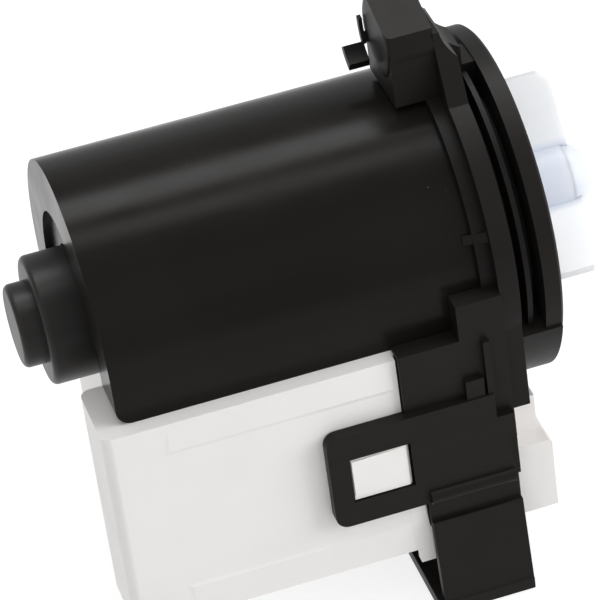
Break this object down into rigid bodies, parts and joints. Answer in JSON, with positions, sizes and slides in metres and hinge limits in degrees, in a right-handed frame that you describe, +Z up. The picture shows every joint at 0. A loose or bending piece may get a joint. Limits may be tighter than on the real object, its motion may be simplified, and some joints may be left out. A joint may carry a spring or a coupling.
{
  "type": "washer drain pump",
  "caption": "Washing machine drain pump: half-round black motor hood, white coil case, moulded double flange with snap loops and foot, and a radial impeller with free turn on its shaft.",
  "frame": {"origin": "centre of the flange's mounting face, on the shaft's axis", "axes": "+X along the shaft from the motor to the impeller, +Z up with the coil case below the shaft, -Y to the side with the connector"},
  "size_m": [0.1347, 0.0872, 0.1341],
  "materials": {
    "black_plastic": "satin",
    "bracket_plastic": "matt",
    "can_plastic": "satin",
    "white_plastic": "satin",
    "pale_plastic": "satin",
    "bobbin_plastic": "satin",
    "core_steel": "laminated",
    "copper_wire": "enamelled",
    "bright_steel": "ground",
    "bronze": "sintered",
    "magnet": "ground ferrite",
    "grey_plastic": "moulded",
    "rubber": "moulded"
  },
  "bodies": {
    "housing": {"front_bracket": "bracket_plastic", "bracket_foot": "bracket_plastic", "stator_hood": "black_plastic", "rotor_can": "can_plastic", "coil_case": "white_plastic", "stator_core": "core_steel", "bobbin_near": "bobbin_plastic", "bobbin_far": "bobbin_plastic", "winding_near": "copper_wire", "winding_far": "copper_wire", "thermal_protector": "grey_plastic", "terminal_blades": "bright_steel", "front_bearing": "bronze", "rear_bearing": "bronze", "front_grommet": "rubber", "rear_grommet": "rubber", "end_shield": "grey_plastic", "shield_seal": "rubber", "shield_screws": "bright_steel", "shaft_seal": "rubber", "flange_seal": "rubber"},
    "rotor": {"shaft": "bright_steel", "rotor_sleeve": "grey_plastic", "rotor_magnet": "magnet", "thrust_washers": "bronze", "drive_dog": "grey_plastic", "shaft_clip": "bright_steel"},
    "impeller": {"impeller": "pale_plastic", "impeller_cap": "pale_plastic"}
  },
  "joints": [
    {"name": "rotor_spin", "type": "hinge", "parent": "housing", "child": "rotor", "pos_m": [0, 0, 0], "axis": [1, 0, 0], "continuous": true},
    {"name": "impeller_play", "type": "hinge", "parent": "rotor", "child": "impeller", "pos_m": [0.012, 0, 0], "axis": [-1, 0, 0], "range_deg": [0, 170]}
  ]
}
